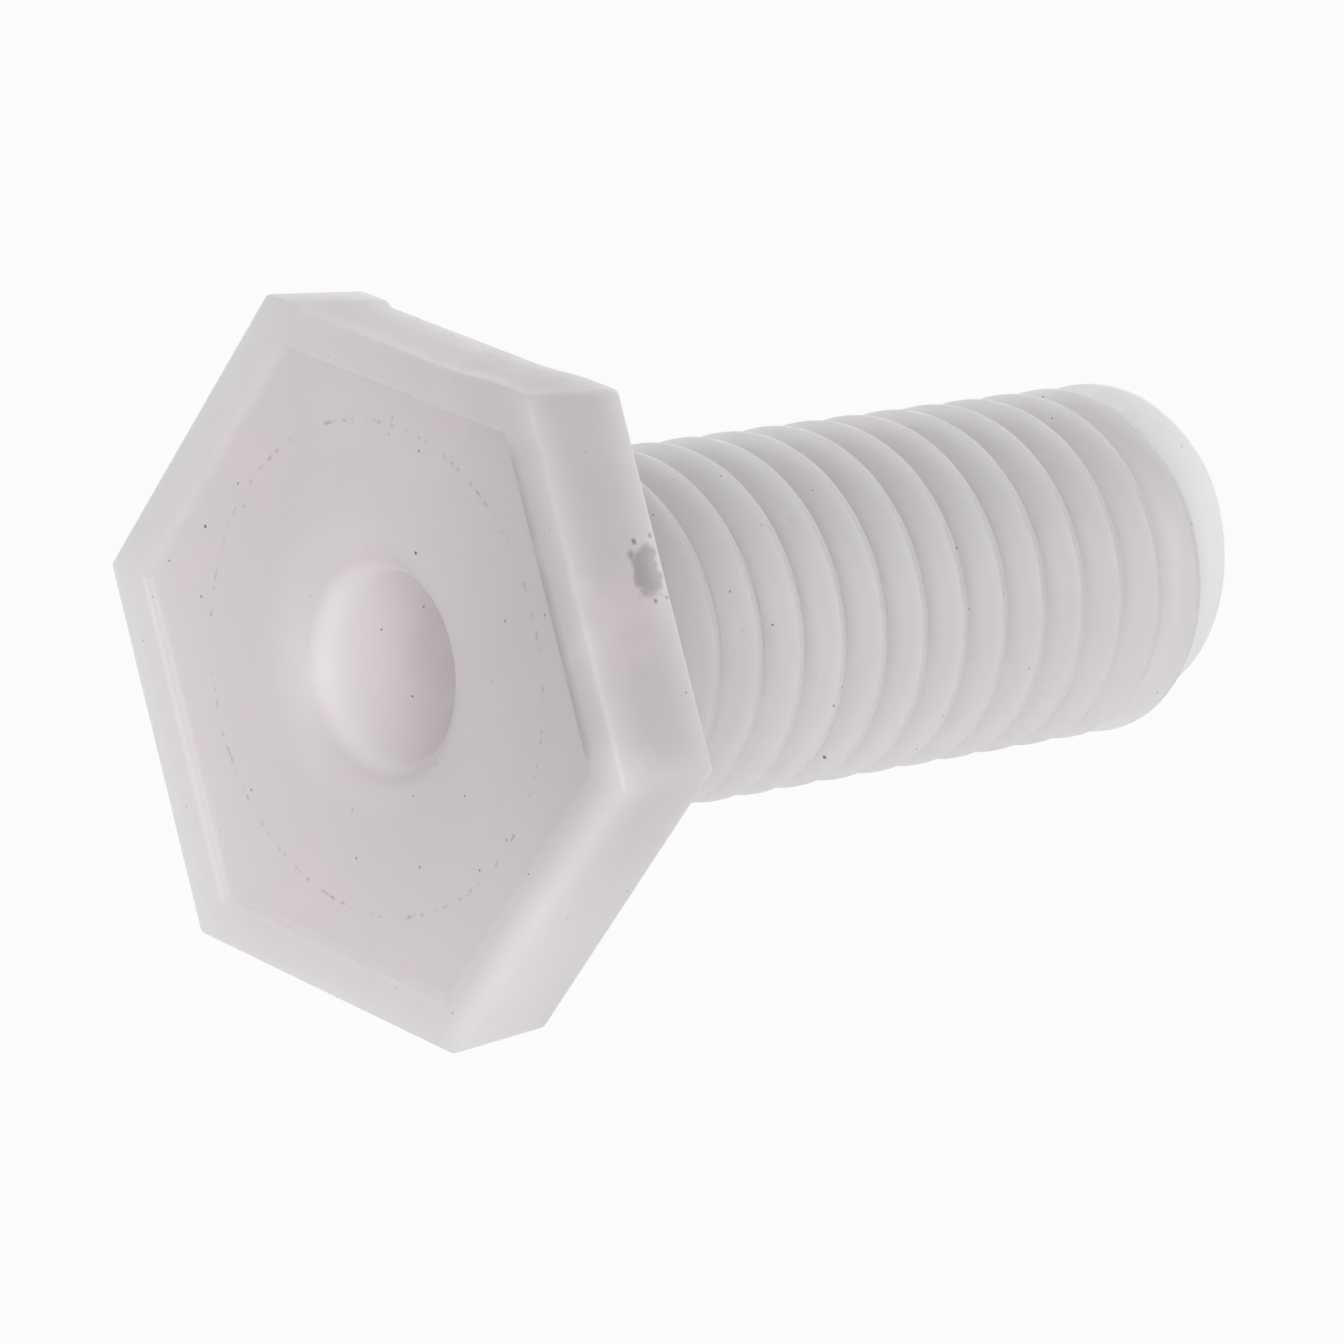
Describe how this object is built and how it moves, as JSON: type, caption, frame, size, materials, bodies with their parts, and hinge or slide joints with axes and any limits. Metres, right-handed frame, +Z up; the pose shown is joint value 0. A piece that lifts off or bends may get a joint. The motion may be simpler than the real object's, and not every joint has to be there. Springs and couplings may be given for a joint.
{
  "type": "headrest fixing screw",
  "caption": "Hollow plastic hexagon-headed screw with a coarse right-hand thread, for clamping a headrest to its frame.",
  "frame": {"origin": "on the screw's axis, at the centre of the bearing face under the head", "axes": "the screw lies as it rests on a table: +Z up, the tip towards +X and dipping 8.76 degrees below it, the axis in the XZ plane"},
  "size_m": [0.0241, 0.0164, 0.0144],
  "materials": {
    "natural_nylon": "undyed, milky and slightly translucent, as moulded"
  },
  "bodies": {
    "root": {"fixing_screw": "natural_nylon"}
  },
  "joints": []
}
